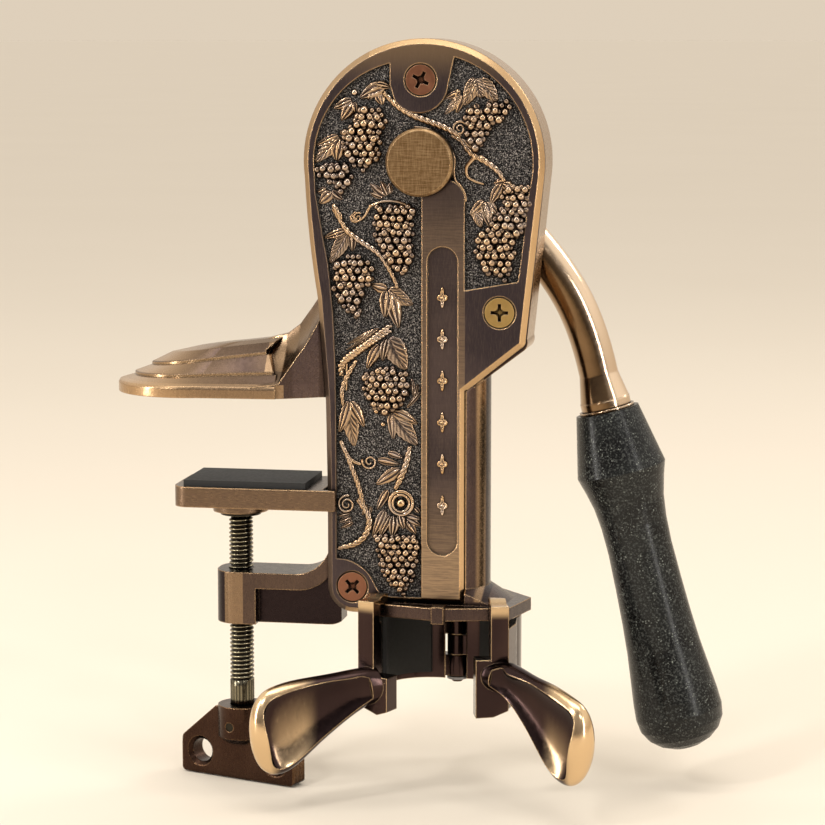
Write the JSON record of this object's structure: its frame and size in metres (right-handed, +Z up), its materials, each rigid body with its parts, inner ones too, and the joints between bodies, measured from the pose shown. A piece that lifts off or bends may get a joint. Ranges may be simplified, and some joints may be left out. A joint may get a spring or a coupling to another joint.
{
  "type": "counter mount corkscrew",
  "caption": "Lever corkscrew that clamps to a counter's edge; an embossed upright body holds the worm, hinged jaws grip the bottle's neck and a side lever drives the worm down and up.",
  "frame": {"origin": "middle of the clamp foot's flat underside, which stands on the counter top", "axes": "+Z up, the embossed front faces -Y, +X to the right as seen from the front, so the lever hangs at +X and the clamp is at -X"},
  "size_m": [0.1965, 0.0821, 0.2413],
  "materials": {
    "cast_body": "antiqued bronze casting, worn bright on its edges",
    "embossed_cover": "antiqued bronze with a raised grapevine, worn bright on its high spots",
    "cap_metal": "brushed bronze",
    "screw_metal": "worn copper-brown",
    "bush_metal": "machined",
    "drive_steel": "machined",
    "worm_steel": "polished",
    "lever_metal": "polished antiqued bronze",
    "nut_metal": "polished antiqued bronze",
    "grip_stone": "polished black-green stone with fine pale speckles",
    "soft_pad": "matt",
    "slide_plastic": "low-friction",
    "jaw_metal": "polished antiqued bronze, bright at the paddle ends",
    "clamp_metal": "antiqued bronze casting",
    "clamp_steel": "dark oiled",
    "pin_steel": "plain"
  },
  "bodies": {
    "body": {"housing": "cast_body", "foot_pad": "soft_pad", "cover_plate": "embossed_cover", "pivot_cap": "cap_metal", "cover_screws": "screw_metal", "rear_bush": "bush_metal", "lever_stops": "drive_steel", "worm_nut": "bush_metal", "guide_screw": "drive_steel", "hinge_pin": "pin_steel", "hinge_clip": "pin_steel"},
    "lever": {"crank_shaft": "drive_steel", "crank_arm": "drive_steel", "crank_screw": "drive_steel", "lever_arm": "lever_metal", "lever_washer": "nut_metal", "lever_nut": "nut_metal", "grip_washer": "nut_metal", "grip_stud": "drive_steel", "handle_grip": "grip_stone"},
    "carriage": {"carriage": "slide_plastic", "wrist_pin": "drive_steel"},
    "rod": {"con_rod": "drive_steel", "crank_pin": "drive_steel"},
    "worm": {"worm": "worm_steel", "thrust_washer": "bush_metal", "worm_clip": "drive_steel"},
    "left_jaw": {"left_jaw": "jaw_metal", "left_grip_pad": "soft_pad"},
    "right_jaw": {"right_jaw": "jaw_metal", "right_grip_pad": "soft_pad"},
    "clamp_plate": {"clamp_plate": "clamp_metal", "clamp_pad": "soft_pad"},
    "clamp_screw": {"clamp_screw": "clamp_steel", "screw_end_clip": "clamp_steel", "screw_washer": "clamp_steel", "clamp_knob": "clamp_metal", "knob_pin": "pin_steel"}
  },
  "joints": [
    {"name": "lever_swing", "type": "hinge", "parent": "body", "child": "lever", "pos_m": [0.0665, 0, 0.075], "axis": [0, -1, 0], "range_deg": [0, 180]},
    {"name": "carriage_slide", "type": "slide", "parent": "body", "child": "carriage", "axis": [0, 0, -1], "range_m": [0, 0.05934]},
    {"name": "rod_tilt", "type": "hinge", "parent": "carriage", "child": "rod", "pos_m": [0.0732, 0, 0.02074], "axis": [0, -1, 0], "range_deg": [-15.76, 0]},
    {"name": "worm_spin", "type": "hinge", "parent": "carriage", "child": "worm", "pos_m": [0.0732, 0, 0], "axis": [0, 0, -1], "range_deg": [0, 2136.24]},
    {"name": "left_jaw_swing", "type": "hinge", "parent": "body", "child": "left_jaw", "pos_m": [0.0732, 0.0186, -0.08], "axis": [0, 0, 1], "range_deg": [0, 18.8]},
    {"name": "right_jaw_swing", "type": "hinge", "parent": "body", "child": "right_jaw", "pos_m": [0.0732, 0.0186, -0.08], "axis": [0, 0, -1], "range_deg": [0, 15.6]},
    {"name": "clamp_travel", "type": "slide", "parent": "body", "child": "clamp_plate", "axis": [0, 0, 1], "range_m": [-0.0144, 0.026]},
    {"name": "clamp_spin", "type": "hinge", "parent": "clamp_plate", "child": "clamp_screw", "pos_m": [0.0047, 0, -0.09], "axis": [0, 0, 1], "range_deg": [-3676.8, 6638.6]}
  ],
  "couplings": [
    {"joint": "carriage_slide", "follows": "lever_swing", "m_per_rad": 0.018887},
    {"joint": "rod_tilt", "follows": "lever_swing", "ratio": -0.0875},
    {"joint": "worm_spin", "follows": "lever_swing", "ratio": 11.867},
    {"joint": "clamp_spin", "follows": "clamp_travel", "rad_per_m": 4456.2}
  ]
}
